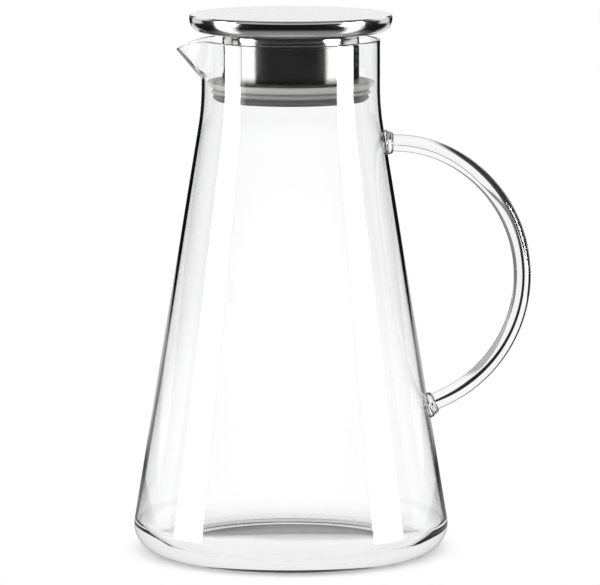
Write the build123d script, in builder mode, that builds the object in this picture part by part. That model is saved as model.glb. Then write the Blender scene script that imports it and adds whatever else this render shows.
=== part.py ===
from build123d import *
import math
import os

os.makedirs("parts", exist_ok=True)

# Glass pitcher with a lift-off steel lid, in millimetres
# Origin on the jug's axis at the table, +Z up, spout to -X, handle to +X

# Jug glass
jug_height = 244.0          # table to rim
base_radius = 75.0          # widest, just above the foot
base_corner = 12.0          # rounding from the wall into the base
neck_radius = 42.2          # outside of the straight neck
neck_straight = 3.0         # plain neck below the spout's root
neck_ease = 10.0            # length of neck over which the cone eases into it
wall = 1.6                  # blown wall
floor = 4.0                 # glass at the bottom
foot_ring = 6.0             # width of the flat ring that the jug stands on
push_up = 2.0               # height of the hollow under the base
rim_rounding = 0.6          # fire-polished edge

# Pulled spout
spout_reach = 12.0          # tip beyond the neck
spout_depth = 19.0          # root below the rim
spout_dip = 4.8             # tip below the rim
spout_lip = 18.0            # length over which the rim runs down to the tip
spout_nose = 6.0            # plan radius of the tip, above the rim
spout_flank = 25.0          # plan radius of the hollow flanks

# Handle, a bent glass rod with a welded foot at each end
rod_radius = 4.1
handle_drop = 49.4          # rim down to the upper end's centre line
handle_lead = 4.1           # straight run from the wall to the shoulder
shoulder_bend = 57.4        # centre-line radius of the tighter upper bend
shoulder_turn = 31.0        # degrees that it turns through
handle_bend = 64.6          # centre-line radius of the main bend
handle_turn = 123.5         # degrees that it turns through
weld_length = 3.5           # wall to the rod's end face
weld_bead = 1.3             # gathered glass beyond the rod
weld_flare = 0.9            # further spread where it runs out on the wall

# Lid
sheet = 0.8                 # steel thickness
lid_gap = 2.0               # pan above the rim
lid_overhang = 5.8          # lid edge beyond the neck
lid_edge = 1.5              # rounding of the top plate's edge
lid_skirt = 2.1             # height of the top plate's edge, down to the seam
pan_round = 6.5             # saucer rounding under the seam
pan_fall = 1.5              # drop of the saucer's sloping part
pan_slope = 10.7            # degrees

# Stem with a pouring window on one side and a strainer on the other
stem_gap = 8.3              # between the stem and the neck
window_width = 15.0
window_height = 13.0
window_corner = 3.0
window_drop = 3.0           # rim down to the window's top edge
hole_radius = 1.1
hole_pitch = 3.4
hole_columns = 7
hole_rows = 3
hole_drop = 4.6             # rim down to the top row
hole_depth = 3.2            # drilled length, well through the sheet

# Seal ring and the carrier that holds it on the stem
seal_drop = 19.7            # rim down to the top lip's edge
seal_clearance = 0.3        # top lip to the neck, drawn as it sits when pressed in
ring_play = 0.1             # seal ring in its groove
stem_play = 0.1             # stem in the carrier, which it turns in
lip_lift = 0.6              # top lip above the carrier
carrier_wall = 1.7          # stem to the bottom of the groove
flange_reach = 1.6          # flanges beyond the groove
flange_thickness = 0.8
groove_width = 6.9
lip_thickness = 1.2
lip_height = 1.6            # second and third lips beyond the ring's body
lip_step = 2.2              # second lip inside the first
lip_taper = 1.0             # third lip inside the second
lip_pitch = 2.6             # between the second and third lips

# Heights and radii that follow from these
spout_root = jug_height - spout_depth
neck_bottom = spout_root - neck_straight - neck_ease
neck_inside = neck_radius - wall
corner_centre = base_radius - base_corner
corner_drop = neck_bottom - base_corner
corner_inset = corner_centre - neck_radius
corner_to_neck = math.hypot(corner_drop, corner_inset)
lean = math.atan(corner_inset / corner_drop) + math.asin(base_corner / corner_to_neck)
foot_radius = neck_radius + neck_bottom * math.tan(lean)
neck_blend = neck_ease / math.tan(lean / 2)
trim_height = jug_height + wall
tip_radius = neck_radius + spout_reach
stem_radius = neck_inside - stem_gap
pan_bottom = jug_height + lid_gap


def wall_radius(z):
    # Outside radius of the cone
    return foot_radius - z * math.tan(lean)


def along(centre, radius, angle):
    return centre + Vector(math.cos(angle), math.sin(angle)) * radius


def mirrored(point):
    return Vector(point.X, -point.Y)


def draw_neck_plan(side, leave, flank, join, tip):
    # Half neck, hollow flank, round nose, then the same the other way round
    back = Vector(leave.length, 0)
    ThreePointArc(back, side, leave)
    ThreePointArc(leave, flank, join)
    ThreePointArc(join, tip, mirrored(join))
    ThreePointArc(mirrored(join), mirrored(flank), mirrored(leave))
    ThreePointArc(mirrored(leave), mirrored(side), back)


def pulled_neck(inset):
    # Neck from the spout's root up: a circle there, a teardrop at the trim height
    reach = spout_reach / (spout_depth - spout_dip) * (trim_height - spout_root)
    ring = neck_radius - inset
    nose = Vector(spout_nose - neck_radius - reach, 0)
    hollow = neck_radius + spout_flank
    gap = spout_flank + spout_nose
    spread = math.acos((hollow**2 + nose.X**2 - gap**2) / (-2 * hollow * nose.X))
    hollow_centre = along(Vector(0, 0), hollow, math.pi - spread)
    to_neck = -spread
    to_nose = math.atan2(-hollow_centre.Y, nose.X - hollow_centre.X)
    leave = along(hollow_centre, spout_flank + inset, to_neck)
    flank = along(hollow_centre, spout_flank + inset, (to_neck + to_nose) / 2)
    join = along(hollow_centre, spout_flank + inset, to_nose)
    tip = Vector(nose.X - spout_nose + inset, 0)
    side = along(Vector(0, 0), ring, (math.pi - spread) / 2)
    plan = [side, leave, flank, join, tip]
    with BuildPart(mode=Mode.PRIVATE) as neck:
        with BuildSketch(Plane.XY.offset(spout_root)):
            with BuildLine():
                draw_neck_plan(*[point.normalized() * ring for point in plan])
            make_face()
        with BuildSketch(Plane.XY.offset(trim_height)):
            with BuildLine():
                draw_neck_plan(*plan)
            make_face()
        loft(ruled=True)
    return neck.part


# Outside of the cone, which also trims the welded feet
with BuildPart() as cone_outside:
    with BuildSketch(Plane.XZ):
        with BuildLine():
            FilletPolyline(
                (0, 0),
                (foot_radius, 0),
                (neck_radius, neck_bottom),
                (neck_radius, spout_root),
                radius=[base_corner, neck_blend],
            )
            Polyline((neck_radius, spout_root), (0, spout_root), (0, 0))
        make_face()
    revolve(axis=Axis.Z)

# Jug body, with a spout pulled out of the round neck and the wall kept even through it
inside_foot = wall_radius(floor) - wall / math.cos(lean)
inside_shoulder = neck_bottom - wall * math.tan(lean / 2)
foot_inside = corner_centre - foot_ring
with BuildPart() as jug_body:
    add(cone_outside.part)
    add(pulled_neck(0))
    with BuildSketch(Plane.XZ):
        with BuildLine():
            FilletPolyline(
                (0, floor),
                (inside_foot, floor),
                (neck_inside, inside_shoulder),
                (neck_inside, spout_root),
                radius=[base_corner - wall, neck_blend + wall],
            )
            Polyline((neck_inside, spout_root), (0, spout_root), (0, floor))
        make_face()
    revolve(axis=Axis.Z, mode=Mode.SUBTRACT)
    add(pulled_neck(wall), mode=Mode.SUBTRACT)
    # Hollow under the base, which leaves a flat ring to stand on
    with BuildSketch(Plane.XZ):
        with BuildLine():
            TangentArc((0, push_up), (foot_inside, 0), tangent=(1, 0))
            Polyline((foot_inside, 0), (0, 0), (0, push_up))
        make_face()
    revolve(axis=Axis.Z, mode=Mode.SUBTRACT)
    # The rim is level round the neck and runs down to the spout's tip
    with BuildSketch(Plane.XZ):
        with BuildLine():
            lip = TangentArc(
                (spout_lip - tip_radius, jug_height),
                (-tip_radius, jug_height - spout_dip),
                tangent=(-1, 0),
            )
            Polyline(
                lip @ 1,
                (-base_radius, jug_height - spout_dip),
                (-base_radius, trim_height),
                (base_radius, trim_height),
                (base_radius, jug_height),
                lip @ 0,
            )
        make_face()
    extrude(amount=base_radius, both=True, mode=Mode.SUBTRACT)
    lowest_rim = jug_height - spout_dip - wall
    rim = jug_body.edges().filter_by(lambda edge: edge.bounding_box().min.Z > lowest_rim)
    fillet(rim.filter_by(GeomType.LINE, reverse=True), rim_rounding)
jug_body.part.label = "jug_body"
export_step(jug_body.part, "parts/jug_body.step")

# Handle rod, from one welded foot round both bends to the other
handle_top = jug_height - handle_drop
upper_joint = wall_radius(handle_top)
bend_start = upper_joint + handle_lead
shoulder_end = math.radians(90 - shoulder_turn)
bend_end = shoulder_end - math.radians(handle_turn)
shoulder_centre = Vector(bend_start, handle_top - shoulder_bend)
bend_centre = along(shoulder_centre, shoulder_bend - handle_bend, shoulder_end)
tail_start = along(bend_centre, handle_bend, bend_end)
tail_way = Vector(math.sin(bend_end), -math.cos(bend_end))
tail = (tail_start.X - wall_radius(tail_start.Y)) / (-tail_way.X - tail_way.Y * math.tan(lean))
lower_joint = tail_start + tail_way * tail
with BuildPart() as handle_rod:
    with BuildLine(Plane.XZ):
        lead = Line((upper_joint + weld_length, handle_top), (bend_start, handle_top))
        shoulder = JernArc(lead @ 1, lead % 1, radius=shoulder_bend, arc_size=-shoulder_turn)
        bend = JernArc(shoulder @ 1, shoulder % 1, radius=handle_bend, arc_size=-handle_turn)
        Line(bend @ 1, bend @ 1 + (bend % 1) * (tail - weld_length))
    with BuildSketch(Plane(origin=lead @ 0, z_dir=lead % 0)):
        Circle(rod_radius)
    sweep()
handle_rod.part.label = "handle_rod"
export_step(handle_rod.part, "parts/handle_rod.step")


def welded_foot(name, joint, outwards):
    # Gathered glass between the rod's end face and the wall
    collar = rod_radius + weld_bead
    spread = collar + weld_flare
    axis = Axis((joint.X, 0, joint.Y), (outwards.X, 0, outwards.Y))
    with BuildPart() as foot:
        with BuildSketch(Plane(origin=axis.position, x_dir=axis.direction, z_dir=(0, -1, 0))):
            with BuildLine():
                crown = (weld_length / 2, collar)
                TangentArc(crown, (weld_length, rod_radius), tangent=(1, 0))
                TangentArc(crown, (0, spread), tangent=(-1, 0))
                Polyline(
                    (0, spread),
                    (-spread, spread),
                    (-spread, 0),
                    (weld_length, 0),
                    (weld_length, rod_radius),
                )
            make_face()
        revolve(axis=axis)
        add(cone_outside.part, mode=Mode.SUBTRACT)
    foot.part.label = name
    export_step(foot.part, f"parts/{name}.step")


welded_foot("upper_handle_weld", Vector(upper_joint, handle_top), Vector(1, 0))
welded_foot("lower_handle_weld", lower_joint, tail_way * -1)

# Lid top plate, a shallow cap pressed from sheet
lid_radius = neck_radius + lid_overhang
pan_side = pan_round * math.cos(math.radians(pan_slope))
seam = pan_bottom + pan_fall + pan_side
lid_top = seam + lid_skirt
with BuildPart() as lid_top_plate:
    with BuildSketch(Plane.XZ):
        with BuildLine():
            FilletPolyline((0, lid_top), (lid_radius, lid_top), (lid_radius, seam), radius=lid_edge)
            offset(amount=sheet, side=Side.RIGHT)
        make_face()
    revolve(axis=Axis.Z)
lid_top_plate.part.label = "lid_top_plate"
export_step(lid_top_plate.part, "parts/lid_top_plate.step")

# Lid pan, the saucer that closes the lid from below
slope_way = Vector(-math.cos(math.radians(pan_slope)), -math.sin(math.radians(pan_slope)))
with BuildPart() as lid_under_pan:
    with BuildSketch(Plane.XZ):
        with BuildLine():
            turn = JernArc((lid_radius, seam), (0, -1), radius=pan_round, arc_size=pan_slope - 90)
            slope = Line(turn @ 1, turn @ 1 + slope_way * (pan_fall / -slope_way.Y))
            Line(slope @ 1, (0, pan_bottom))
            offset(amount=sheet, side=Side.RIGHT)
        make_face()
    revolve(axis=Axis.Z)
lid_under_pan.part.label = "lid_under_pan"
export_step(lid_under_pan.part, "parts/lid_under_pan.step")

# Strainer stem, a tube hung from the pan, window towards the spout and strainer holes behind
lip_edge = jug_height - seal_drop
carrier_top = lip_edge - lip_lift
carrier_bottom = carrier_top - 2 * flange_thickness - groove_width
stem_bottom = carrier_bottom + sheet
window_middle = jug_height - window_drop - window_height / 2
hole_angle = math.degrees(hole_pitch / stem_radius)
hole_span = hole_angle * (hole_columns - 1)
with BuildPart() as strainer_stem:
    with BuildSketch(Plane.XY.offset(stem_bottom)):
        Circle(stem_radius)
        Circle(stem_radius - sheet, mode=Mode.SUBTRACT)
    extrude(amount=pan_bottom - stem_bottom)
    with BuildSketch(Plane(origin=(0, 0, window_middle), x_dir=(0, 1, 0), z_dir=(-1, 0, 0))):
        RectangleRounded(window_width, window_height, window_corner)
    extrude(amount=stem_radius + sheet, mode=Mode.SUBTRACT)
    for row in range(hole_rows):
        with Locations((0, 0, jug_height - hole_drop - row * hole_pitch)):
            with PolarLocations(stem_radius, hole_columns, -hole_span / 2, hole_span, endpoint=True):
                Cylinder(hole_radius, hole_depth, rotation=(0, 90, 0), mode=Mode.SUBTRACT)
strainer_stem.part.label = "strainer_stem"
export_step(strainer_stem.part, "parts/strainer_stem.step")

# Seal carrier, a moulded ring round the stem's lower end, with a ledge under it
carrier_bore = stem_radius + stem_play
ledge_top = stem_bottom - stem_play
groove_radius = stem_radius + carrier_wall
flange_radius = groove_radius + flange_reach
groove_bottom = carrier_bottom + flange_thickness
groove_top = groove_bottom + groove_width
with BuildPart() as seal_carrier:
    with BuildSketch(Plane.XZ):
        with BuildLine():
            Polyline(
                (stem_radius - sheet, carrier_bottom),
                (flange_radius, carrier_bottom),
                (flange_radius, groove_bottom),
                (groove_radius, groove_bottom),
                (groove_radius, groove_top),
                (flange_radius, groove_top),
                (flange_radius, carrier_top),
                (carrier_bore, carrier_top),
                (carrier_bore, ledge_top),
                (stem_radius - sheet, ledge_top),
                close=True,
            )
        make_face()
    revolve(axis=Axis.Z)
seal_carrier.part.label = "seal_carrier"
export_step(seal_carrier.part, "parts/seal_carrier.step")

# Seal ring, soft, with a flared top lip and two smaller lips below it
ring_inside = groove_radius + ring_play
ring_bottom = groove_bottom + ring_play
ring_top = groove_top - ring_play
first_lip = neck_inside - seal_clearance
second_lip = first_lip - lip_step
third_lip = second_lip - lip_taper
ring_body = second_lip - lip_height
third_middle = ring_bottom + lip_thickness / 2
second_middle = third_middle + lip_pitch
with BuildPart() as seal_ring:
    with BuildSketch(Plane.XZ):
        with BuildLine():
            Polyline(
                (ring_inside, ring_bottom),
                (third_lip - lip_thickness / 2, ring_bottom),
                (third_lip, third_middle),
                (ring_body - lip_taper / 2, third_middle + lip_pitch / 2),
                (second_lip, second_middle),
                (ring_body, second_middle + lip_pitch / 2),
                (first_lip, lip_edge - lip_thickness / 2),
                (first_lip - lip_thickness / 2, lip_edge),
                (ring_body - lip_taper / 2, ring_top),
                (ring_inside, ring_top),
                close=True,
            )
        make_face()
    revolve(axis=Axis.Z)
seal_ring.part.label = "seal_ring"
export_step(seal_ring.part, "parts/seal_ring.step")
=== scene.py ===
import bpy
import bmesh
import math
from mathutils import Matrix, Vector


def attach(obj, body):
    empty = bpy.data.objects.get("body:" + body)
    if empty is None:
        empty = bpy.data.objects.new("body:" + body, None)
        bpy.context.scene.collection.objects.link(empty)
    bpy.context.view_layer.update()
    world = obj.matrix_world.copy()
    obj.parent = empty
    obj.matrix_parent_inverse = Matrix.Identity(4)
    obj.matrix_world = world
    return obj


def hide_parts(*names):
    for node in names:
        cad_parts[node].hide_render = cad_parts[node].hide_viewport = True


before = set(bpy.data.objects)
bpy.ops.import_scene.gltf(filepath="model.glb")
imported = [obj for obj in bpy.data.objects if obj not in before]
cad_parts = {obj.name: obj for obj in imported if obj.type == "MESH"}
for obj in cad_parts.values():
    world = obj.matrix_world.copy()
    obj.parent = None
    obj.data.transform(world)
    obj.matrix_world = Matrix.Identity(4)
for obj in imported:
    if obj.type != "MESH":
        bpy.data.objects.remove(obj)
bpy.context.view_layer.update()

mm = 0.001
mergeNear = 0.002 * mm
tinyEdge = 0.0005 * mm


def deselectAll():
    if bpy.context.mode != "OBJECT":
        bpy.ops.object.mode_set(mode="OBJECT")
    bpy.ops.object.select_all(action="DESELECT")


def pickOnly(piece):
    deselectAll()
    piece.select_set(True)
    bpy.context.view_layer.objects.active = piece


def nameNew(name):
    piece = bpy.context.object
    piece.name = name
    piece.data.name = name
    bpy.ops.object.transform_apply(location=True, rotation=True, scale=True)
    return piece


# Profiles are drawn in the XZ plane, point by point, as (radius, height) in millimetres
def startProfile(name, x, z):
    deselectAll()
    bpy.ops.mesh.primitive_plane_add(size=1 * mm, location=(x * mm, 0, z * mm))
    piece = nameNew(name)
    bpy.ops.object.mode_set(mode="EDIT")
    bpy.ops.mesh.select_all(action="SELECT")
    bpy.ops.mesh.merge(type="CENTER")
    return piece


def endPoint():
    # The selected point is the profile's free end
    mesh = bmesh.from_edit_mesh(bpy.context.edit_object.data)
    return next(v.co.copy() for v in mesh.verts if v.select)


def lineTo(x, z, hold=0.0, parts=1):
    # Hold keeps the shading of a long straight wall flat right up to its ends
    start = endPoint()
    run = Vector((x * mm, 0, z * mm)) - start
    length = run.length / mm
    stops = [i / parts for i in range(1, parts)]
    if hold:
        stops = sorted(stops + [hold / length, 1 - hold / length])
    done = 0.0
    for stop in stops + [1.0]:
        bpy.ops.mesh.extrude_region_move(TRANSFORM_OT_translate={"value": run * (stop - done)})
        done = stop


def arcAbout(x, z, degrees, steps):
    # Positive degrees turn from +X towards +Z
    bpy.ops.mesh.spin(steps=steps, angle=math.radians(degrees), center=(x * mm, 0, z * mm), axis=(0, 1, 0))


def closeProfile():
    bpy.ops.mesh.select_all(action="SELECT")
    bpy.ops.mesh.remove_doubles(threshold=mergeNear)


def roundCorners(corners, radius, steps):
    # Profile corners near the given points are rounded
    for x, z in corners:
        pickPoint(x, z)
        bpy.ops.mesh.bevel(offset=radius * mm, segments=steps, profile=0.5, affect="VERTICES")


def pickPoint(x, z):
    mesh = bmesh.from_edit_mesh(bpy.context.edit_object.data)
    place = Vector((x * mm, 0, z * mm))
    nearest = min(mesh.verts, key=lambda v: (v.co - place).length)
    bpy.ops.mesh.select_all(action="DESELECT")
    nearest.select = True
    mesh.select_flush_mode()
    bmesh.update_edit_mesh(bpy.context.edit_object.data)


def spinProfile(steps, centre=(0, 0, 0), axis=(0, 0, 1)):
    bpy.ops.mesh.select_all(action="SELECT")
    bpy.ops.mesh.spin(steps=steps, angle=math.tau, center=centre, axis=axis)
    mergeAndFace()


def mergeAndFace():
    bpy.ops.mesh.select_all(action="SELECT")
    bpy.ops.mesh.remove_doubles(threshold=mergeNear)
    bpy.ops.mesh.dissolve_degenerate(threshold=tinyEdge)
    bpy.ops.mesh.select_all(action="SELECT")
    bpy.ops.mesh.normals_make_consistent(inside=False)
    bpy.ops.object.mode_set(mode="OBJECT")


def smoothUpTo(piece, degrees):
    pickOnly(piece)
    bpy.ops.object.shade_smooth_by_angle(angle=math.radians(degrees))


def cutWith(piece, cutter):
    pickOnly(piece)
    cut = piece.modifiers.new("cut", "BOOLEAN")
    cut.operation = "DIFFERENCE"
    cut.solver = "EXACT"
    cut.object = cutter
    bpy.ops.object.modifier_apply(modifier=cut.name)
    bpy.data.objects.remove(cutter)


def settle(piece, node, body):
    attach(piece, body)
    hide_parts(node)


# Jug of blown glass: foot, cone, neck and a spout pulled out of the neck
jug = {
    "height": 244.0, "baseRadius": 75.0, "baseCorner": 12.0,
    "neckRadius": 42.2, "neckBottom": 212.0, "neckEase": 10.0,
    "wall": 1.6, "floor": 4.0, "footInside": 57.0, "pushUp": 2.0, "rimRound": 0.6,
    "spoutRoot": 225.0, "spoutTip": 54.2, "spoutDip": 4.8, "spoutLip": 18.0,
    "spoutNose": 6.0, "spoutFlank": 25.0, "trimHeight": 245.6, "rootEase": 0.15,
    "rootSkip": 0.01, "lipTries": 12,
    "steps": 320, "hollowSteps": 10, "cornerSteps": 18, "easeSteps": 10, "rimSteps": 6, "insideSteps": 16,
    "neckRings": 22, "wallRings": 3, "floorRings": 5,
    "footHold": 0.6, "wallHold": 1.0, "floorHold": 0.8, "smooth": 50,
}
cornerCentre = jug["baseRadius"] - jug["baseCorner"]
cornerDrop = jug["neckBottom"] - jug["baseCorner"]
cornerInset = cornerCentre - jug["neckRadius"]
lean = math.atan(cornerInset / cornerDrop)
lean += math.asin(jug["baseCorner"] / math.hypot(cornerDrop, cornerInset))
leanDegrees = math.degrees(lean)
footRadius = jug["neckRadius"] + jug["neckBottom"] * math.tan(lean)
neckBlend = jug["neckEase"] / math.tan(lean / 2)


def coneRadius(z):
    return footRadius - z * math.tan(lean)


def spoutPlan(turn, inset):
    # Radius of the trimmed neck's plan, turn in radians from the spout
    nose = jug["trimHeight"] - jug["spoutRoot"]
    reach = (jug["spoutTip"] - jug["neckRadius"]) / (jug["height"] - jug["spoutDip"] - jug["spoutRoot"]) * nose
    noseAt = jug["neckRadius"] + reach - jug["spoutNose"]
    flankAt = jug["neckRadius"] + jug["spoutFlank"]
    gap = jug["spoutFlank"] + jug["spoutNose"]
    spread = math.acos((flankAt ** 2 + noseAt ** 2 - gap ** 2) / (2 * flankAt * noseAt))
    share = jug["spoutNose"] / gap
    joinX = noseAt + (flankAt * math.cos(spread) - noseAt) * share
    joinTurn = math.atan2(flankAt * math.sin(spread) * share, joinX)
    turn = abs(turn)
    if turn >= spread:
        return jug["neckRadius"] - inset
    if turn > joinTurn:
        side = flankAt * math.sin(spread - turn)
        return flankAt * math.cos(spread - turn) - math.sqrt((jug["spoutFlank"] + inset) ** 2 - side ** 2)
    side = noseAt * math.sin(turn)
    return noseAt * math.cos(turn) + math.sqrt(max((jug["spoutNose"] - inset) ** 2 - side ** 2, 0.0))


def rimHeight(x):
    # Level round the neck, then an arc down to the spout's tip
    past = jug["spoutLip"] - jug["spoutTip"] - x
    if past <= 0:
        return jug["height"]
    bend = (jug["spoutLip"] ** 2 + jug["spoutDip"] ** 2) / (2 * jug["spoutDip"])
    return jug["height"] - bend + math.sqrt(max(bend ** 2 - past ** 2, 0.0))


def pulled(share):
    # How far the pull has come at a share of the height, eased at the root
    ease = jug["rootEase"]
    if share < ease:
        return share * share * (2 * ease - share) / ease ** 2
    return share


def pullSpout(piece):
    root = jug["spoutRoot"]
    straight = jug["height"] - root
    trim = jug["trimHeight"] - root
    for v in piece.data.vertices:
        z = v.co.z / mm
        if z <= root + jug["rootSkip"]:
            continue
        radius = math.hypot(v.co.x, v.co.y) / mm
        way = math.atan2(v.co.y, v.co.x)
        turn = math.pi - abs(way)
        inset = min(max(jug["neckRadius"] - radius, 0.0), jug["wall"])
        pull = spoutPlan(turn, inset) - (jug["neckRadius"] - inset)
        share = (z - root) / straight
        height = jug["height"]
        # The rim's height depends on the pull, and the pull on the height
        for _ in range(jug["lipTries"]):
            newZ = root + (height - root) * share
            newRadius = radius + pull * pulled((newZ - root) / trim)
            height = rimHeight(newRadius * math.cos(way))
        v.co = Vector((newRadius * math.cos(way), newRadius * math.sin(way), newZ)) * mm


def makeJug():
    wall = jug["wall"]
    inside = jug["neckRadius"] - wall
    blendAt = jug["neckRadius"] + neckBlend
    blendTop = jug["neckBottom"] + jug["neckEase"]
    hollow = (jug["footInside"] ** 2 + jug["pushUp"] ** 2) / (2 * jug["pushUp"])
    hollowTurn = math.degrees(math.asin(jug["footInside"] / hollow))
    rim = jug["rimRound"]
    innerCorner = jug["baseCorner"] - wall
    innerCentre = coneRadius(jug["floor"] + innerCorner) - (wall + innerCorner) / math.cos(lean)

    piece = startProfile("jugBody", 0, jug["pushUp"])
    arcAbout(0, jug["pushUp"] - hollow, -hollowTurn, jug["hollowSteps"])
    lineTo(cornerCentre, 0, hold=jug["footHold"])
    arcAbout(cornerCentre, jug["baseCorner"], 90 + leanDegrees, jug["cornerSteps"])
    blendLow = (blendAt - neckBlend * math.cos(lean), blendTop - neckBlend * math.sin(lean))
    lineTo(*blendLow, hold=jug["wallHold"], parts=jug["wallRings"])
    arcAbout(blendAt, blendTop, -leanDegrees, jug["easeSteps"])
    lineTo(jug["neckRadius"], jug["spoutRoot"])
    lineTo(jug["neckRadius"], jug["height"] - rim, parts=jug["neckRings"])
    arcAbout(jug["neckRadius"] - rim, jug["height"] - rim, 90, jug["rimSteps"])
    lineTo(inside + rim, jug["height"])
    arcAbout(inside + rim, jug["height"] - rim, 90, jug["rimSteps"])
    lineTo(inside, jug["spoutRoot"], parts=jug["neckRings"])
    lineTo(inside, blendTop)
    arcAbout(blendAt, blendTop, leanDegrees, jug["easeSteps"])
    wallFoot = (innerCentre + innerCorner * math.cos(lean), jug["floor"] + innerCorner * (1 + math.sin(lean)))
    lineTo(*wallFoot, hold=jug["wallHold"], parts=jug["wallRings"])
    arcAbout(innerCentre, jug["floor"] + innerCorner, -90 - leanDegrees, jug["insideSteps"])
    lineTo(0, jug["floor"], hold=jug["floorHold"], parts=jug["floorRings"])
    spinProfile(jug["steps"])
    pullSpout(piece)
    smoothUpTo(piece, jug["smooth"])
    return piece


jugBody = makeJug()
settle(jugBody, "jug_body", "jug")
print("jug blown:", len(jugBody.data.polygons), "faces")


# Handle of bent glass rod, and the gathered feet that hold it to the wall
handle = {
    "rodRadius": 4.1, "topHeight": 194.6, "lead": 4.1,
    "shoulder": 57.4, "shoulderTurn": 31.0, "bend": 64.6, "bendTurn": 123.5,
    "weldLength": 3.5, "bead": 1.3, "flare": 0.9, "gap": 0.02,
    "rodSides": 48, "shoulderSteps": 24, "bendSteps": 92, "ringReach": 1.5, "rodSmooth": 50,
    "weldSides": 72, "weldSteps": 8, "weldHold": 0.4, "weldSmooth": 40, "cutLow": 40.0, "cutHigh": 204.0,
}
upperX = coneRadius(handle["topHeight"])
shoulderCentre = Vector((upperX + handle["lead"], 0, handle["topHeight"] - handle["shoulder"]))
shoulderEnd = math.radians(90 - handle["shoulderTurn"])
bendEnd = shoulderEnd - math.radians(handle["bendTurn"])
shoulderWay = Vector((math.cos(shoulderEnd), 0, math.sin(shoulderEnd)))
bendCentre = shoulderCentre + (handle["shoulder"] - handle["bend"]) * shoulderWay
tailStart = bendCentre + handle["bend"] * Vector((math.cos(bendEnd), 0, math.sin(bendEnd)))
tailWay = Vector((math.sin(bendEnd), 0, -math.cos(bendEnd)))
tailRun = (tailStart.x - coneRadius(tailStart.z)) / (-tailWay.x - tailWay.z * math.tan(lean))
lowerJoint = tailStart + tailWay * tailRun


def fillRing(place):
    # Close the open end nearest to a place
    mesh = bmesh.from_edit_mesh(bpy.context.edit_object.data)
    bpy.ops.mesh.select_all(action="DESELECT")
    for v in mesh.verts:
        v.select = v.is_boundary and (v.co - place).length < handle["ringReach"] * handle["rodRadius"] * mm
    mesh.select_flush_mode()
    bmesh.update_edit_mesh(bpy.context.edit_object.data)
    bpy.ops.mesh.edge_face_add()


def makeRod():
    start = Vector((upperX + handle["weldLength"] + handle["gap"], 0, handle["topHeight"]))
    deselectAll()
    bpy.ops.mesh.primitive_circle_add(
        vertices=handle["rodSides"], radius=handle["rodRadius"] * mm, fill_type="NOTHING",
        location=start * mm, rotation=(0, math.pi / 2, 0))
    piece = nameNew("handleRod")
    bpy.ops.object.mode_set(mode="EDIT")
    bpy.ops.mesh.select_all(action="SELECT")
    bpy.ops.mesh.extrude_region_move(
        TRANSFORM_OT_translate={"value": ((upperX + handle["lead"]) * mm - start.x * mm, 0, 0)})
    for centre, turn, steps in (
            (shoulderCentre, handle["shoulderTurn"], handle["shoulderSteps"]),
            (bendCentre, handle["bendTurn"], handle["bendSteps"])):
        bpy.ops.mesh.spin(steps=steps, angle=math.radians(turn), center=centre * mm, axis=(0, -1, 0))
    tail = tailWay * (tailRun - handle["weldLength"] - handle["gap"])
    bpy.ops.mesh.extrude_region_move(TRANSFORM_OT_translate={"value": tail * mm})
    fillRing(start * mm)
    fillRing((tailStart + tail) * mm)
    mergeAndFace()
    smoothUpTo(piece, handle["rodSmooth"])
    return piece


def makeWeld(name, joint, outwards):
    across = Vector((-outwards.z, 0, outwards.x))
    collar = handle["rodRadius"] + handle["bead"]
    spread = collar + handle["flare"]
    half = handle["weldLength"] / 2

    def at(along, radius):
        point = joint + outwards * along + across * radius
        return point.x, point.z

    def bulge(fall, run):
        # Radius and turn of an arc that leaves the crown along the rod
        bend = (run ** 2 + fall ** 2) / (2 * fall)
        return bend, math.degrees(math.asin(run / bend))

    piece = startProfile(name, *at(handle["weldLength"], 0))
    lineTo(*at(handle["weldLength"], handle["rodRadius"]), hold=handle["weldHold"])
    bend, turn = bulge(handle["bead"], half)
    arcAbout(*at(half, collar - bend), turn, handle["weldSteps"])
    bend, turn = bulge(handle["flare"], half)
    arcAbout(*at(half, collar + bend), -turn, handle["weldSteps"])
    lineTo(*at(-spread, spread))
    lineTo(*at(-spread, 0))
    spinProfile(handle["weldSides"], centre=joint * mm, axis=outwards)

    # The wall's own cone trims the foot
    low, high, gap = handle["cutLow"], handle["cutHigh"], handle["gap"]
    deselectAll()
    bpy.ops.mesh.primitive_cone_add(
        vertices=jug["steps"], radius1=(coneRadius(low) + gap) * mm, radius2=(coneRadius(high) + gap) * mm,
        depth=(high - low) * mm, location=(0, 0, (low + high) / 2 * mm))
    cutWith(piece, nameNew("wallCutter"))
    smoothUpTo(piece, handle["weldSmooth"])
    return piece


handleRod = makeRod()
upperWeld = makeWeld("upperHandleWeld", Vector((upperX, 0, handle["topHeight"])), Vector((1, 0, 0)))
lowerWeld = makeWeld("lowerHandleWeld", lowerJoint, -tailWay)
settle(handleRod, "handle_rod", "jug")
settle(upperWeld, "upper_handle_weld", "jug")
settle(lowerWeld, "lower_handle_weld", "jug")
print("handle bent and welded:", len(handleRod.data.polygons), "faces in the rod")


# Lid: a pressed top plate over a saucer pan
lid = {
    "radius": 48.0, "sheet": 0.8, "edge": 1.5, "top": 255.987, "seam": 253.887,
    "panRound": 6.5, "panSlope": 10.7, "panBottom": 246.0, "panFall": 1.5, "seamGap": 0.02,
    "steps": 224, "topRings": 6, "panRings": 4, "hold": 0.4, "smooth": 40,
    "edgeSteps": 8, "edgeInside": 6, "panSteps": 16, "panInside": 12,
}


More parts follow.
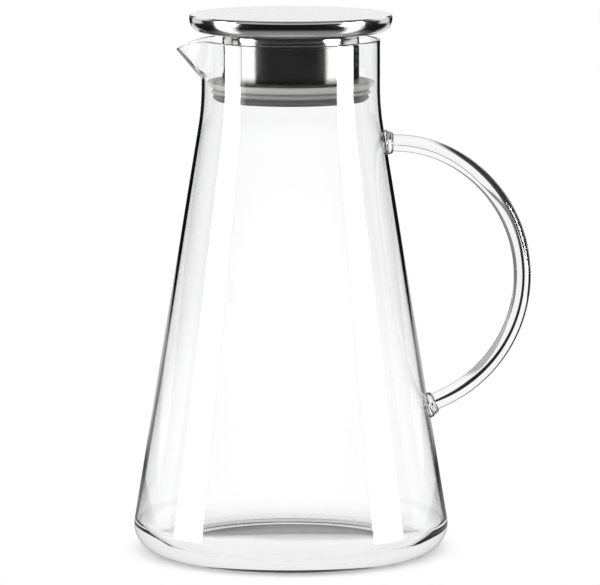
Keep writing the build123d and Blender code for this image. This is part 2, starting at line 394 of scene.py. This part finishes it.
def makePlate():
    radius, top, sheet, edge = lid["radius"], lid["top"], lid["sheet"], lid["edge"]
    low = lid["seam"] + lid["seamGap"]
    piece = startProfile("lidTopPlate", 0, top)
    lineTo(radius - edge, top, hold=lid["hold"], parts=lid["topRings"])
    arcAbout(radius - edge, top - edge, -90, lid["edgeSteps"])
    lineTo(radius, low)
    lineTo(radius - sheet, low)
    lineTo(radius - sheet, top - edge)
    arcAbout(radius - edge, top - edge, 90, lid["edgeInside"])
    lineTo(0, top - sheet, hold=lid["hold"])
    spinProfile(lid["steps"])
    smoothUpTo(piece, lid["smooth"])
    return piece


def makePan():
    radius, sheet, seam, bend = lid["radius"], lid["sheet"], lid["seam"], lid["panRound"]
    bottom, hold = lid["panBottom"], lid["hold"]
    slope = math.radians(lid["panSlope"])
    slopeEndX = radius - bend + bend * math.sin(slope) - lid["panFall"] / math.tan(slope)
    innerX = slopeEndX - sheet * math.tan(slope / 2)
    piece = startProfile("lidUnderPan", 0, bottom + sheet)
    lineTo(innerX, bottom + sheet, hold=hold)
    inner = bend - sheet
    lineTo(radius - bend + inner * math.sin(slope), seam - inner * math.cos(slope), hold=hold)
    arcAbout(radius - bend, seam, 90 - lid["panSlope"], lid["panInside"])
    lineTo(radius, seam)
    arcAbout(radius - bend, seam, -(90 - lid["panSlope"]), lid["panSteps"])
    lineTo(slopeEndX, bottom, hold=hold)
    lineTo(0, bottom, hold=hold, parts=lid["panRings"])
    spinProfile(lid["steps"])
    smoothUpTo(piece, lid["smooth"])
    return piece


lidTopPlate = makePlate()
lidUnderPan = makePan()
settle(lidTopPlate, "lid_top_plate", "lid")
settle(lidUnderPan, "lid_under_pan", "lid")
print("lid pressed")


# Stem: a tube with a pouring window to the spout and a strainer behind
stem = {
    "radius": 32.3, "sheet": 0.8, "bottom": 216.0, "top": 246.0, "sides": 224,
    "windowWidth": 15.0, "windowHeight": 13.0, "windowCorner": 3.0, "windowMiddle": 234.5, "windowSteps": 8,
    "holeRadius": 1.1, "holePitch": 3.4, "holeColumns": 7, "holeTop": 239.4, "holeRows": 3, "holeSides": 24,
    "gap": 0.02, "smooth": 35,
}


def makeStem():
    top = stem["top"] - stem["gap"]
    height = top - stem["bottom"]
    deselectAll()
    bpy.ops.mesh.primitive_cylinder_add(
        vertices=stem["sides"], radius=stem["radius"] * mm, depth=height * mm, end_fill_type="NOTHING",
        location=(0, 0, (top + stem["bottom"]) / 2 * mm))
    piece = nameNew("strainerStem")
    thick = piece.modifiers.new("sheet", "SOLIDIFY")
    thick.thickness = stem["sheet"] * mm
    thick.offset = -1.0
    thick.use_even_offset = True
    bpy.ops.object.modifier_apply(modifier=thick.name)

    deselectAll()
    bpy.ops.mesh.primitive_cube_add(size=1, location=(-stem["radius"] * mm, 0, stem["windowMiddle"] * mm))
    bpy.context.object.scale = Vector((stem["radius"] / 2, stem["windowWidth"], stem["windowHeight"])) * mm
    window = nameNew("windowCutter")
    bpy.ops.object.mode_set(mode="EDIT")
    mesh = bmesh.from_edit_mesh(window.data)
    bpy.ops.mesh.select_all(action="DESELECT")
    for edge in mesh.edges:
        edge.select = abs(edge.verts[0].co.x - edge.verts[1].co.x) > mm
    mesh.select_flush_mode()
    bmesh.update_edit_mesh(window.data)
    bpy.ops.mesh.bevel(
        offset=stem["windowCorner"] * mm, segments=stem["windowSteps"], profile=0.5, affect="EDGES")
    bpy.ops.object.mode_set(mode="OBJECT")
    cutWith(piece, window)

    drills = []
    for row in range(stem["holeRows"]):
        for column in range(stem["holeColumns"]):
            turn = (column - (stem["holeColumns"] - 1) / 2) * stem["holePitch"] / stem["radius"]
            z = stem["holeTop"] - row * stem["holePitch"]
            place = Vector((stem["radius"] * math.cos(turn), stem["radius"] * math.sin(turn), z)) * mm
            deselectAll()
            bpy.ops.mesh.primitive_cylinder_add(
                vertices=stem["holeSides"], radius=stem["holeRadius"] * mm, depth=4 * stem["sheet"] * mm,
                location=place, rotation=(0, math.pi / 2, turn))
            drills.append(nameNew("holeCutter"))
    deselectAll()
    for drill in drills:
        drill.select_set(True)
    bpy.context.view_layer.objects.active = drills[0]
    bpy.ops.object.join()
    cutWith(piece, drills[0])
    smoothUpTo(piece, stem["smooth"])
    return piece


strainerStem = makeStem()
settle(strainerStem, "strainer_stem", "lid")
print("stem drilled:", len(strainerStem.data.polygons), "faces")


# Carrier: a moulded reel on the stem's end that holds the seal
carrier = {
    "ledgeRadius": 31.5, "bore": 32.4, "groove": 34.0, "flange": 35.6, "ledge": 215.9,
    "bottom": 215.2, "grooveLow": 216.0, "grooveHigh": 222.9, "top": 223.7,
    "round": 0.25, "roundSteps": 4, "steps": 192, "smooth": 50,
}
# Seal: soft rings, the top one flared to the neck
seal = {
    "inside": 34.1, "bottom": 216.1, "top": 222.8, "body": 36.5, "taper": 1.0, "lipThick": 1.2,
    "firstLip": 40.3, "firstTop": 224.3, "secondLip": 38.1, "secondAt": 219.3, "thirdLip": 37.1, "thirdAt": 216.7,
    "pitch": 2.6, "round": 0.25, "roundSteps": 4, "steps": 192, "smooth": 50,
}


def reel(name, values, corners, soft):
    piece = startProfile(name, *corners[0])
    for corner in corners[1:] + corners[:1]:
        lineTo(*corner)
    closeProfile()
    roundCorners(soft, values["round"], values["roundSteps"])
    spinProfile(values["steps"])
    smoothUpTo(piece, values["smooth"])
    return piece


carrierCorners = [
    (carrier["ledgeRadius"], carrier["bottom"]), (carrier["flange"], carrier["bottom"]),
    (carrier["flange"], carrier["grooveLow"]), (carrier["groove"], carrier["grooveLow"]),
    (carrier["groove"], carrier["grooveHigh"]), (carrier["flange"], carrier["grooveHigh"]),
    (carrier["flange"], carrier["top"]), (carrier["bore"], carrier["top"]),
    (carrier["bore"], carrier["ledge"]), (carrier["ledgeRadius"], carrier["ledge"]),
]
waist = seal["body"] - seal["taper"] / 2
sealCorners = [
    (seal["inside"], seal["bottom"]), (seal["thirdLip"] - seal["lipThick"] / 2, seal["bottom"]),
    (seal["thirdLip"], seal["thirdAt"]), (waist, seal["thirdAt"] + seal["pitch"] / 2),
    (seal["secondLip"], seal["secondAt"]), (seal["body"], seal["secondAt"] + seal["pitch"] / 2),
    (seal["firstLip"], seal["firstTop"] - seal["lipThick"] / 2),
    (seal["firstLip"] - seal["lipThick"] / 2, seal["firstTop"]),
    (waist, seal["top"]), (seal["inside"], seal["top"]),
]
carrierOuter = [c for c in carrierCorners if c[0] == carrier["flange"]]
sealCarrier = reel("sealCarrier", carrier, carrierCorners, carrierOuter)
sealRing = reel("sealRing", seal, sealCorners, sealCorners[1:-1])
settle(sealCarrier, "seal_carrier", "seal")
settle(sealRing, "seal_ring", "seal")
print("seal moulded")


# Node trees: Wire does sums on values, Tree.node makes any other node
class Wire:
    def __init__(self, tree, socket):
        self.tree = tree
        self.socket = socket

    def sum(self, operation, first, second):
        return self.tree.node("ShaderNodeMath", {"operation": operation}, {0: first, 1: second})["Value"]

    def __add__(self, other):
        return self.sum("ADD", self, other)

    def __radd__(self, other):
        return self.sum("ADD", other, self)

    def __sub__(self, other):
        return self.sum("SUBTRACT", self, other)

    def __rsub__(self, other):
        return self.sum("SUBTRACT", other, self)

    def __mul__(self, other):
        return self.sum("MULTIPLY", self, other)

    def __pow__(self, other):
        return self.sum("POWER", self, other)

    def least(self, other):
        return self.sum("MINIMUM", self, other)

    def most(self, other):
        return self.sum("MAXIMUM", self, other)

    def under(self, other):
        return self.sum("LESS_THAN", self, other)

    def over(self, other):
        return self.sum("GREATER_THAN", self, other)

    def same(self, other):
        return self.sum("COMPARE", self, other)

    def size(self):
        return self.sum("ABSOLUTE", self, 0.0)


class Tree:
    def __init__(self, owner):
        owner.use_nodes = True
        self.nodes = owner.node_tree.nodes
        self.links = owner.node_tree.links
        self.nodes.clear()

    def node(self, kind, settings=None, sockets=None):
        made = self.nodes.new(kind)
        for key, value in (settings or {}).items():
            setattr(made, key, value)
        for key, value in (sockets or {}).items():
            if isinstance(value, Wire):
                self.links.new(value.socket, made.inputs[key])
            else:
                made.inputs[key].default_value = value
        return {out.name: Wire(self, out) for out in made.outputs if out.enabled}

    def place(self, kind="Object"):
        # Coordinates whole, and split into X, Y and Z
        coords = self.node("ShaderNodeTexCoord")[kind]
        return coords, self.node("ShaderNodeSeparateXYZ", None, {"Vector": coords})

    def smooth(self, value, low, high, toLow=0.0, toHigh=1.0):
        return self.node(
            "ShaderNodeMapRange", {"interpolation_type": "SMOOTHSTEP"},
            {"Value": value, "From Min": low, "From Max": high, "To Min": toLow, "To Max": toHigh})["Result"]

    def step(self, value, middle, soft, toLow=0.0, toHigh=1.0):
        return self.smooth(value, middle - soft, middle + soft, toLow, toHigh)

    def band(self, value, low, high, soft):
        return self.step(value, low, soft) * self.step(value, high, soft, 1.0, 0.0)

    def glow(self, colour):
        return self.node("ShaderNodeEmission", None, {"Color": colour, "Strength": 1.0})["Emission"]

    def clear(self):
        return self.node("ShaderNodeBsdfTransparent")["BSDF"]

    def mixShader(self, share, first, second):
        return self.node("ShaderNodeMixShader", None, {0: share, 1: first, 2: second})["Shader"]

    def mixColour(self, share, first, second):
        return self.node(
            "ShaderNodeMix", {"data_type": "RGBA"},
            {"Factor": share, 6: first, 7: second})["Result"]

    def noise(self, coords, scale, detail):
        return self.node(
            "ShaderNodeTexNoise", {"noise_dimensions": "3D"},
            {"Vector": coords, "Scale": scale, "Detail": detail, "Roughness": 0.5})["Fac"]

    def bump(self, height, strength, distance):
        return self.node(
            "ShaderNodeBump", None, {"Strength": strength, "Distance": distance, "Height": height})["Normal"]

    def surface(self, shader):
        self.node("ShaderNodeOutputMaterial", None, {"Surface": shader})

    def principled(self, sockets):
        self.surface(self.node("ShaderNodeBsdfPrincipled", None, sockets)["BSDF"])


def newFinish(name):
    finish = bpy.data.materials.new(name)
    return finish, Tree(finish)


def wear(piece, finish):
    piece.data.materials.clear()
    piece.data.materials.append(finish)


def fromAxis(parts):
    return (parts["X"] * parts["X"] + parts["Y"] * parts["Y"]) ** 0.5


# Clear glass with painted shade where it is seen edge on, standing in for the dark surroundings it refracts there,
# and with the faint ripple of blown work
glass = {
    "tint": (0.998, 1.0, 0.999, 1), "ior": 1.47,
    # Each kind: the colour of its painted edge shade, and the facing where that shade starts and is full
    "wall": ((0.30, 0.32, 0.31, 1), 0.86, 0.96),
    "rod": ((0.06, 0.065, 0.065, 1), 0.45, 0.85),
    "weld": ((0.06, 0.065, 0.065, 1), 0.20, 0.60),
    "ripple": 18.0, "rippleDetail": 1.0, "rippleStretch": (1.0, 1.0, 0.35), "rippleDepth": 0.04, "rippleRun": 0.01,
    "smear": 90.0, "smearDetail": 3.0, "smearRough": 0.012,
}


def makeGlass(name, kind):
    # A kind gives the painted edge shade's colour, and where it starts and is full
    edge, edgeShadeFrom, edgeShadeTo = glass[kind]
    finish, tree = newFinish(name)
    coords = tree.node("ShaderNodeTexCoord")["Object"]
    facing = tree.node("ShaderNodeLayerWeight", None, {"Blend": 0.5})["Facing"]
    # Painted shade: the colour darkens where the glass is seen edge on
    colour = tree.mixColour(tree.smooth(facing, edgeShadeFrom, edgeShadeTo), glass["tint"], edge)
    stretched = tree.node("ShaderNodeMapping", None, {"Vector": coords, "Scale": glass["rippleStretch"]})["Vector"]
    ripple = tree.noise(stretched, glass["ripple"], glass["rippleDetail"])
    smear = tree.noise(coords, glass["smear"], glass["smearDetail"])
    tree.principled({
        "Base Color": colour, "Roughness": smear * glass["smearRough"], "IOR": glass["ior"],
        "Transmission Weight": 1.0, "Normal": tree.bump(ripple, glass["rippleDepth"], glass["rippleRun"])})
    return finish


# Steel: brushed rings on the lid's flat top, with painted light making that top paler than the polished steel,
# polished over its edge, on the pan and on the stem, with painted shade at the stem's foot
steel = {
    # The satin top's two grain colours are paler than the polished steel's: painted light for the bright top, over
    # real brushed rings
    "litSatin": (0.93, 0.93, 0.93, 1), "litSatinDark": (0.86, 0.86, 0.865, 1), "satinRough": 0.27, "satinRings": 2400.0,
    "bright": (0.76, 0.76, 0.755, 1), "brightDark": (0.66, 0.66, 0.655, 1),
    "brightRough": 0.10, "brightRings": 3200.0,
    "edgeLow": 0.2556, "edgeHigh": 0.25595,
    # Below these heights the stem's foot gets painted shade, darker near the seal
    "stemShadeLow": 0.2250, "stemShadeHigh": 0.2285, "stemShade": (0.20, 0.20, 0.198, 1),
    "lineDetail": 4.0, "lineRough": 0.6, "lineShare": 0.7, "lineDepth": 0.05, "lineRun": 0.0005,
    "cloud": 45.0, "cloudDetail": 3.0, "cloudShare": 0.3, "paleFrom": 0.35, "paleTo": 0.65, "shineLeast": 0.5,
}


def brushed(name, pale, dark, rough, rings, acrossHeight, low=0.0, high=0.001, belowPolishOrShade=(0, 0, 0, 1)):
    # Below a height, another colour and a polish: the plate's polished edge, and painted shade at the stem's foot
    finish, tree = newFinish(name)
    coords, parts = tree.place()
    track = fromAxis(parts) + parts["Z"] * acrossHeight
    lines = tree.node(
        "ShaderNodeTexNoise", {"noise_dimensions": "1D"},
        {"W": track, "Scale": rings, "Detail": steel["lineDetail"], "Roughness": steel["lineRough"]})["Fac"]
    cloud = tree.noise(coords, steel["cloud"], steel["cloudDetail"])
    grain = lines * steel["lineShare"] + cloud * steel["cloudShare"]
    colour = tree.mixColour(tree.smooth(grain, steel["paleFrom"], steel["paleTo"]), dark, pale)
    above = tree.smooth(parts["Z"], low, high)
    even = steel["brightRough"] + above * (rough - steel["brightRough"])
    tree.principled({
        "Base Color": tree.mixColour(above, belowPolishOrShade, colour), "Metallic": 1.0,
        "Roughness": even * (steel["shineLeast"] + grain),
        "Normal": tree.bump(lines, steel["lineDepth"], steel["lineRun"])})
    return finish


# Soft grey silicone, with painted shade towards its bottom and in its grooves, and the moulded carrier behind it,
# also with painted shade towards its bottom
grey = {
    # The low colours, and the heights where they give way to the pale ones, are painted shade
    "silicone": (0.66, 0.65, 0.63, 1), "siliconeLowShade": (0.22, 0.217, 0.21, 1), "siliconeRough": 0.45,
    "siliconeSoft": 0.25, "grooveShade": 0.45, "grooveShadeColour": (0.02, 0.02, 0.02, 1),
    "plastic": (0.40, 0.40, 0.39, 1), "plasticLowShade": (0.16, 0.16, 0.155, 1), "plasticRough": 0.4,
    "lowAt": 0.2150, "highAt": 0.2232, "grooveAt": 0.0366, "lipAt": 0.0376, "softRadius": (0.002, 0.002, 0.002),
    "cloud": 120.0, "cloudDetail": 3.0, "cloudLift": 0.002, "cloudRough": 0.2,
    "grain": 2600.0, "grainDetail": 2.0, "grainDepth": 0.08, "grainRun": 0.0003,
}


def moulded(name, pale, low, rough, soft, groove):
    finish, tree = newFinish(name)
    coords, parts = tree.place()
    cloud = tree.noise(coords, grey["cloud"], grey["cloudDetail"]) - 0.5
    grain = tree.noise(coords, grey["grain"], grey["grainDetail"])
    # Painted shade: darker towards the bottom, where the seal and carrier sit in shadow
    height = tree.smooth(parts["Z"] + cloud * grey["cloudLift"], grey["lowAt"], grey["highAt"])
    colour = tree.mixColour(height, low, pale)
    # Painted shade in the grooves between the lips, inside a radius
    grooveShadeMask = tree.smooth(fromAxis(parts), grey["grooveAt"], grey["lipAt"], groove, 1.0)
    tree.principled({
        "Base Color": tree.mixColour(grooveShadeMask, grey["grooveShadeColour"], colour),
        "Roughness": rough + cloud * grey["cloudRough"],
        "Normal": tree.bump(grain, grey["grainDepth"], grey["grainRun"]),
        "Subsurface Weight": soft, "Subsurface Radius": grey["softRadius"]})
    return finish


weldGlass = makeGlass("weldGlass", "weld")
bright = (steel["bright"], steel["brightDark"], steel["brightRough"], steel["brightRings"], 1.0)
wear(jugBody, makeGlass("clearGlass", "wall"))
wear(handleRod, makeGlass("rodGlass", "rod"))
wear(upperWeld, weldGlass)
wear(lowerWeld, weldGlass)
# Painted light: the plate's top is paler than its polished edge
wear(lidTopPlate, brushed(
    "satinSteel", steel["litSatin"], steel["litSatinDark"], steel["satinRough"], steel["satinRings"], 0.0,
    steel["edgeLow"], steel["edgeHigh"], steel["bright"]))
wear(lidUnderPan, brushed("brightSteel", *bright))
# Painted shade on the stem's foot, near the seal
wear(strainerStem, brushed("stemSteel", *bright, steel["stemShadeLow"], steel["stemShadeHigh"], steel["stemShade"]))
wear(sealRing, moulded(
    "softSilicone", grey["silicone"], grey["siliconeLowShade"], grey["siliconeRough"],
    grey["siliconeSoft"], grey["grooveShade"]))
wear(sealCarrier, moulded("greyPlastic", grey["plastic"], grey["plasticLowShade"], grey["plasticRough"], 0.0, 1.0))
print("finishes on")


# Studio: a white floor, a lit panel behind, soft boxes at the sides and one overhead
rays = {"noWall": 0.5, "oneWall": 3.5, "bothWalls": 4.0, "throughMore": 0.08}


def rayKinds(tree):
    # What a ray sees depends on how it came: mirrored or not, and through none, one or both of the jug's walls
    path = tree.node("ShaderNodeLightPath")
    sent, depth = path["Is Transmission Ray"], path["Transmission Depth"]
    reflected = path["Glossy Depth"].least(1.0)
    scattered = path["Diffuse Depth"].least(1.0)
    direct = 1.0 - scattered
    through = sent * (1.0 - reflected) * direct
    return {
        "camera": path["Is Camera Ray"], "through": through,
        "reflected": reflected * direct, "scattered": scattered,
        "open": depth.under(rays["noWall"]), "thin": depth.under(rays["oneWall"]) * sent,
        "inner": depth.same(rays["bothWalls"]), "passes": path["Transparent Depth"],
        "white": 1.0 + through * depth.over(rays["oneWall"]) * rays["throughMore"],
    }


# Floor: pairs are where a change starts and ends, slopes are sideways per step back
ground = {
    "radius": 14.0, "sides": 128, "shade": (0.92, 0.92, 0.92, 1), "white": (0.06, 0.10), "throughWhite": 0.75,
    "patchX": (-0.25, 0.018), "patchY": (0.10, 0.75), "patchDark": 0.97,
    "asideX": (0.14, 0.45), "asideY": (0.03, 0.06), "asideDark": 0.55, "softX": 0.01, "softY": 0.03, "sharp": 0.001,
    "table": (0.15, 0.40), "tableNear": 0.32, "underNear": 0.9, "tableFar": 0.012,
    "backY": (0.25, 0.45), "backSlope": 0.62, "backSoft": 0.15, "backLevel": 0.9,
    "outerSlope": 1.7, "outerSoft": 0.3, "innerSlope": 0.6, "innerSoft": 0.1, "backToSides": (1.2, 1.6),
    "edgeFoot": 0.072, "edgeNear": 0.1, "edgeFar": 0.53, "edgeSoft": (0.0, 0.01), "edgeDark": 0.95,
    "cardNear": 0.17, "cardFrom": 0.15, "cardLean": 0.60, "cardSkew": 0.05, "cardBack": 0.05,
    "cardSoft": 0.02, "cardLevel": 1.5,
    "stripTurn": (0.87, 0.89), "stripBack": 0.05, "stripFrom": 1.2, "stripSoft": 0.1, "stripLevel": 1.7,
}


def makeFloor():
    deselectAll()
    bpy.ops.mesh.primitive_circle_add(
        vertices=ground["sides"], radius=ground["radius"], fill_type="NGON", location=(0, 0, 0))
    floor = nameNew("studioFloor")
    finish, tree = newFinish("paleFloor")
    coords, parts = tree.place()
    x, y, across = parts["X"], parts["Y"], parts["X"].size()
    radius = tree.node("ShaderNodeVectorMath", {"operation": "LENGTH"}, {0: coords})["Value"]
    ray = rayKinds(tree)
    plain = tree.node("ShaderNodeBsdfDiffuse", None, {"Color": ground["shade"]})["BSDF"]

    # White past the foot, but marked rays see a dark patch behind and a grey side
    patch = tree.band(x, *ground["patchX"], ground["softX"])
    patch = patch * tree.band(y, *ground["patchY"], ground["softY"]) * ground["patchDark"]
    aside = tree.band(x, *ground["asideX"], ground["softX"])
    aside = aside * tree.smooth(y, *ground["asideY"]) * ground["asideDark"]
    # The panel is one more clear sheet on the way to the floor behind it
    marked = ray["passes"] - tree.step(y, panelWall["back"], ground["sharp"])
    white = tree.glow(ray["white"] - ray["thin"] * marked.least(1.0).most(0.0) * patch.most(aside))
    far = tree.smooth(radius, *ground["white"])
    share = (ray["camera"] * far).most(ray["through"] * far.most(ground["throughWhite"]))
    lit = tree.mixShader(share, plain, white)

    # Mirrored, it is a dark table that is pale behind, and dark again where the walls' edges look
    near = ray["open"] * ground["tableNear"] + (1.0 - ray["open"]) * ground["underNear"]
    table = tree.smooth(radius, *ground["table"], near, ground["tableFar"])
    back = tree.smooth(y, *ground["backY"]) * tree.step(y * ground["backSlope"] - across, 0.0, ground["backSoft"])
    sides = tree.step(y * ground["outerSlope"] - across, 0.0, ground["outerSoft"])
    sides = sides * tree.step(across - y * ground["innerSlope"], 0.0, ground["innerSoft"])
    back = tree.smooth(radius, *ground["backToSides"], back, sides)
    table = table.most(back * (1.0 - ray["inner"]) * ground["backLevel"])
    outward = across - ground["edgeFoot"]
    edge = tree.smooth(outward - y * ground["edgeNear"], *ground["edgeSoft"])
    edge = edge * tree.smooth(y * ground["edgeFar"] - outward, *ground["edgeSoft"])
    table = table * (1.0 - ray["thin"] * edge * ground["edgeDark"])

    # Pale cards at the sides for the outer surface, and pale strips far out for the inner ones
    soft = ground["cardSoft"]
    card = tree.step(across, ground["cardNear"], soft)
    card = card * tree.step(y + (across - ground["cardFrom"]) * ground["cardLean"], 0.0, soft)
    card = card * tree.step(y + x * ground["cardSkew"], ground["cardBack"], soft, 1.0, 0.0)
    strip = tree.smooth(across * (radius ** -1.0), *ground["stripTurn"])
    strip = strip * tree.step(y, 0.0, ground["stripBack"], 1.0, 0.0)
    strip = strip * tree.step(radius, ground["stripFrom"], ground["stripSoft"])
    pale = (card * ray["open"] * ground["cardLevel"]).most(strip * (1.0 - ray["open"]) * ground["stripLevel"])
    tree.surface(tree.mixShader(ray["reflected"], lit, tree.glow(table.most(pale))))
    wear(floor, finish)


# Panel behind the pitcher, seen only through the rod and the edges of the walls
panelWall = {
    "back": 0.30, "wide": 3.0, "high": 1.2, "soft": 0.008, "sharp": 0.001, "level": 0.97,
    "foot": 0.105, "left": -0.065, "leftHigh": -0.11, "right": 0.27, "roomLeft": 0.02, "roomRight": 0.22,
    "stripeZ": (0.085, 0.213), "stripeX": (0.094, 0.175), "stripeWide": 0.028, "stripeThin": 0.009,
    "lineTop": 0.215, "lineFrom": 0.056, "lineLevel": 0.75,
    "jugZ": (0.0, 0.2), "jugX": (0.075, 0.042), "edgeNear": 0.03, "edgeFar": 0.165,
}


def makePanel():
    deselectAll()
    middle = (0, panelWall["back"], panelWall["high"] / 2)
    bpy.ops.mesh.primitive_plane_add(size=1, location=middle, rotation=(math.pi / 2, 0, 0))
    bpy.context.object.scale = (panelWall["wide"], panelWall["high"], 1.0)
    panel = nameNew("studioPanel")
    finish, tree = newFinish("litPanel")
    parts = tree.place()[1]
    x, z = parts["X"], parts["Z"]
    ray = rayKinds(tree)
    soft, foot, top = panelWall["soft"], panelWall["foot"], panelWall["lineTop"]
    low = tree.step(z, foot, soft, 1.0, 0.0)

    # For the rod: lit between two dark sides, with a leaning dark stripe and a line at its top
    lit = tree.step(x - tree.step(z, foot, soft, panelWall["left"], panelWall["leftHigh"]), 0.0, soft)
    lit = lit * tree.step(x, panelWall["right"], soft, 1.0, 0.0)
    off = (x - tree.smooth(z, *panelWall["stripeZ"], *panelWall["stripeX"])).size()
    off = off - tree.smooth(z, foot - soft, foot + 3 * soft, panelWall["stripeWide"], panelWall["stripeThin"])
    stripe = tree.step(off, 0.0, soft / 2, 1.0, 0.0) * (low + (1.0 - low) * panelWall["lineLevel"])
    stripe = stripe * tree.smooth(z, top, top + soft, 1.0, 0.0)
    line = tree.band(z, top - soft, top + soft, soft / 2)
    line = line * tree.band(x, panelWall["lineFrom"], panelWall["stripeX"][1], soft) * panelWall["lineLevel"]
    room = tree.step(x, panelWall["right"], soft, panelWall["roomLeft"], panelWall["roomRight"])
    level = (lit * (1.0 - stripe.most(line)) * panelWall["level"]).most(room)

    # For the walls' edges: lit, with a dark band beside the jug
    outward = x.size() - tree.smooth(z, *panelWall["jugZ"], *panelWall["jugX"])
    edge = (1.0 - tree.band(outward, panelWall["edgeNear"], panelWall["edgeFar"], soft)) * panelWall["level"]
    level = level + ray["reflected"] * (edge - level)

    # Open low down beside the stripe, and to all rays that are not marked
    beside = panelWall["stripeX"][0] - panelWall["stripeWide"]
    opening = tree.band(x, panelWall["left"], beside, panelWall["sharp"]) * low
    opening = opening.most(1.0 - ray["passes"].least(1.0))
    share = ray["thin"] * (1.0 - opening * (1.0 - ray["reflected"]))
    tree.surface(tree.mixShader(share, tree.clear(), tree.glow(level)))
    wear(panel, finish)
    panel.visible_camera = False
    panel.visible_diffuse = False
    panel.visible_glossy = False
    panel.visible_shadow = False


# Clear sheets that mark rays through the rod and the walls' edges, and not those through the open neck
marks = {
    "back": 0.006, "near": 0.0402, "left": 0.10, "right": 0.14, "edge": 0.0425,
    "foot": 0.001, "neck": 0.21, "high": 0.25,
}


def makeMarks():
    finish, tree = newFinish("clearMark")
    tree.surface(tree.clear())
    for name, start, stop, low, high in (
            ("studioMarkLeft", -marks["left"], -marks["near"], marks["foot"], marks["high"]),
            ("studioMarkRight", marks["near"], marks["right"], marks["foot"], marks["neck"]),
            ("studioMarkNeck", marks["near"], marks["edge"], marks["neck"], marks["high"])):
        deselectAll()
        middle = ((start + stop) / 2, marks["back"], (low + high) / 2)
        bpy.ops.mesh.primitive_plane_add(size=1, location=middle, rotation=(math.pi / 2, 0, 0))
        bpy.context.object.scale = (stop - start, high - low, 1.0)
        mark = nameNew(name)
        wear(mark, finish)
        mark.visible_diffuse = False
        mark.visible_glossy = False
        mark.visible_shadow = False


# World: white to the eye, a dim room with a pale back and front when mirrored, and a sky for soft light
space = {
    "skyZ": (-0.3, 0.7), "sky": (0.45, 1.10), "roomZ": (0.3, 1.0), "room": (0.02, 0.20), "soft": 0.05,
    "backY": (0.20, 0.65), "backZ": (0.05, 0.6), "backLevel": 1.06,
    "edgeX": (0.18, 0.26), "edgeY": (0.83, 0.88), "edgeZ": (0.07, 0.32), "edgeSoft": 0.03,
    "frontY": (-0.35, -0.10), "frontZ": (0.15, 0.75), "frontLevel": 0.6,
}


def makeWorld():
    world = bpy.data.worlds.new("studioWorld")
    bpy.context.scene.world = world
    tree = Tree(world)
    parts = tree.place("Generated")[1]
    x, y, z = parts["X"], parts["Y"], parts["Z"]
    ray = rayKinds(tree)
    room = tree.smooth(z, *space["roomZ"], *space["room"])
    back = tree.smooth(y, *space["backY"]).most(ray["inner"]) * tree.band(z, *space["backZ"], space["soft"])
    edge = tree.smooth(y, *space["edgeY"]) * tree.smooth(x.size(), *space["edgeX"])
    edge = edge * tree.band(z, *space["edgeZ"], space["edgeSoft"])
    back = back * (1.0 - ray["open"] * edge)
    front = tree.smooth(y, *space["frontY"], 1.0, 0.0) * tree.band(z, *space["frontZ"], space["soft"])
    room = room.most(back * space["backLevel"]).most(front * space["frontLevel"])
    level = tree.mixColour(ray["scattered"], room, tree.smooth(z, *space["skyZ"], *space["sky"]))
    level = tree.mixColour(ray["camera"].most(ray["through"]), level, ray["white"])
    shader = tree.node("ShaderNodeBackground", None, {"Color": level, "Strength": 1.0})["Background"]
    tree.node("ShaderNodeOutputWorld", None, {"Surface": shader})


# Soft boxes: each side has a Shine that is only mirrored and, behind it, a Glow that only lights
lamps = {
    "leftTurn": 79.0, "rightTurn": 74.0, "width": 0.51, "foot": 0.02,
    "Shine": (1.1, 0.55, 21.0), "Glow": (1.2, 1.0, 1.9),
    "topHeight": 1.7, "topSize": 1.3, "topLevel": 1.2,
}


def softBox(name, place, target, width, height, level, shine, glow):
    light = bpy.data.lights.new(name, "AREA")
    light.shape = "RECTANGLE"
    light.size = width
    light.size_y = height
    light.energy = level * math.pi * width * height
    lamp = bpy.data.objects.new(name, light)
    bpy.context.scene.collection.objects.link(lamp)
    lamp.location = place
    lamp.rotation_euler = (Vector(target) - Vector(place)).to_track_quat("-Z", "Y").to_euler()
    lamp.visible_camera = False
    lamp.visible_transmission = False
    lamp.visible_glossy = shine
    lamp.visible_diffuse = glow


makeFloor()
makePanel()
makeMarks()
makeWorld()
for turn, name in ((-lamps["leftTurn"], "leftBox"), (lamps["rightTurn"], "rightBox")):
    way = Vector((math.sin(math.radians(turn)), -math.cos(math.radians(turn)), 0))
    for kind in ("Shine", "Glow"):
        distance, height, level = lamps[kind]
        middle = Vector((0, 0, height / 2 + lamps["foot"]))
        softBox(
            name + kind, way * distance + middle, middle, lamps["width"], height, level,
            shine=kind == "Shine", glow=kind == "Glow")
softBox(
    "topBox", (0, 0, lamps["topHeight"]), (0, 0, 0), lamps["topSize"], lamps["topSize"], lamps["topLevel"],
    shine=False, glow=True)

# Camera at the photograph's viewing angle
view = {"place": (0.00434, -2.230, 0.433), "pitch": 7.9137, "lens": 283.84, "sensor": 36.0}
lens = bpy.data.cameras.new("photoCamera")
lens.lens = view["lens"]
lens.sensor_width = view["sensor"]
camera = bpy.data.objects.new("photoCamera", lens)
bpy.context.scene.collection.objects.link(camera)
camera.location = view["place"]
camera.rotation_euler = (math.radians(90 - view["pitch"]), 0, 0)
bpy.context.scene.camera = camera
bpy.context.scene.view_settings.view_transform = "Standard"
print("studio lit")

deselectAll()
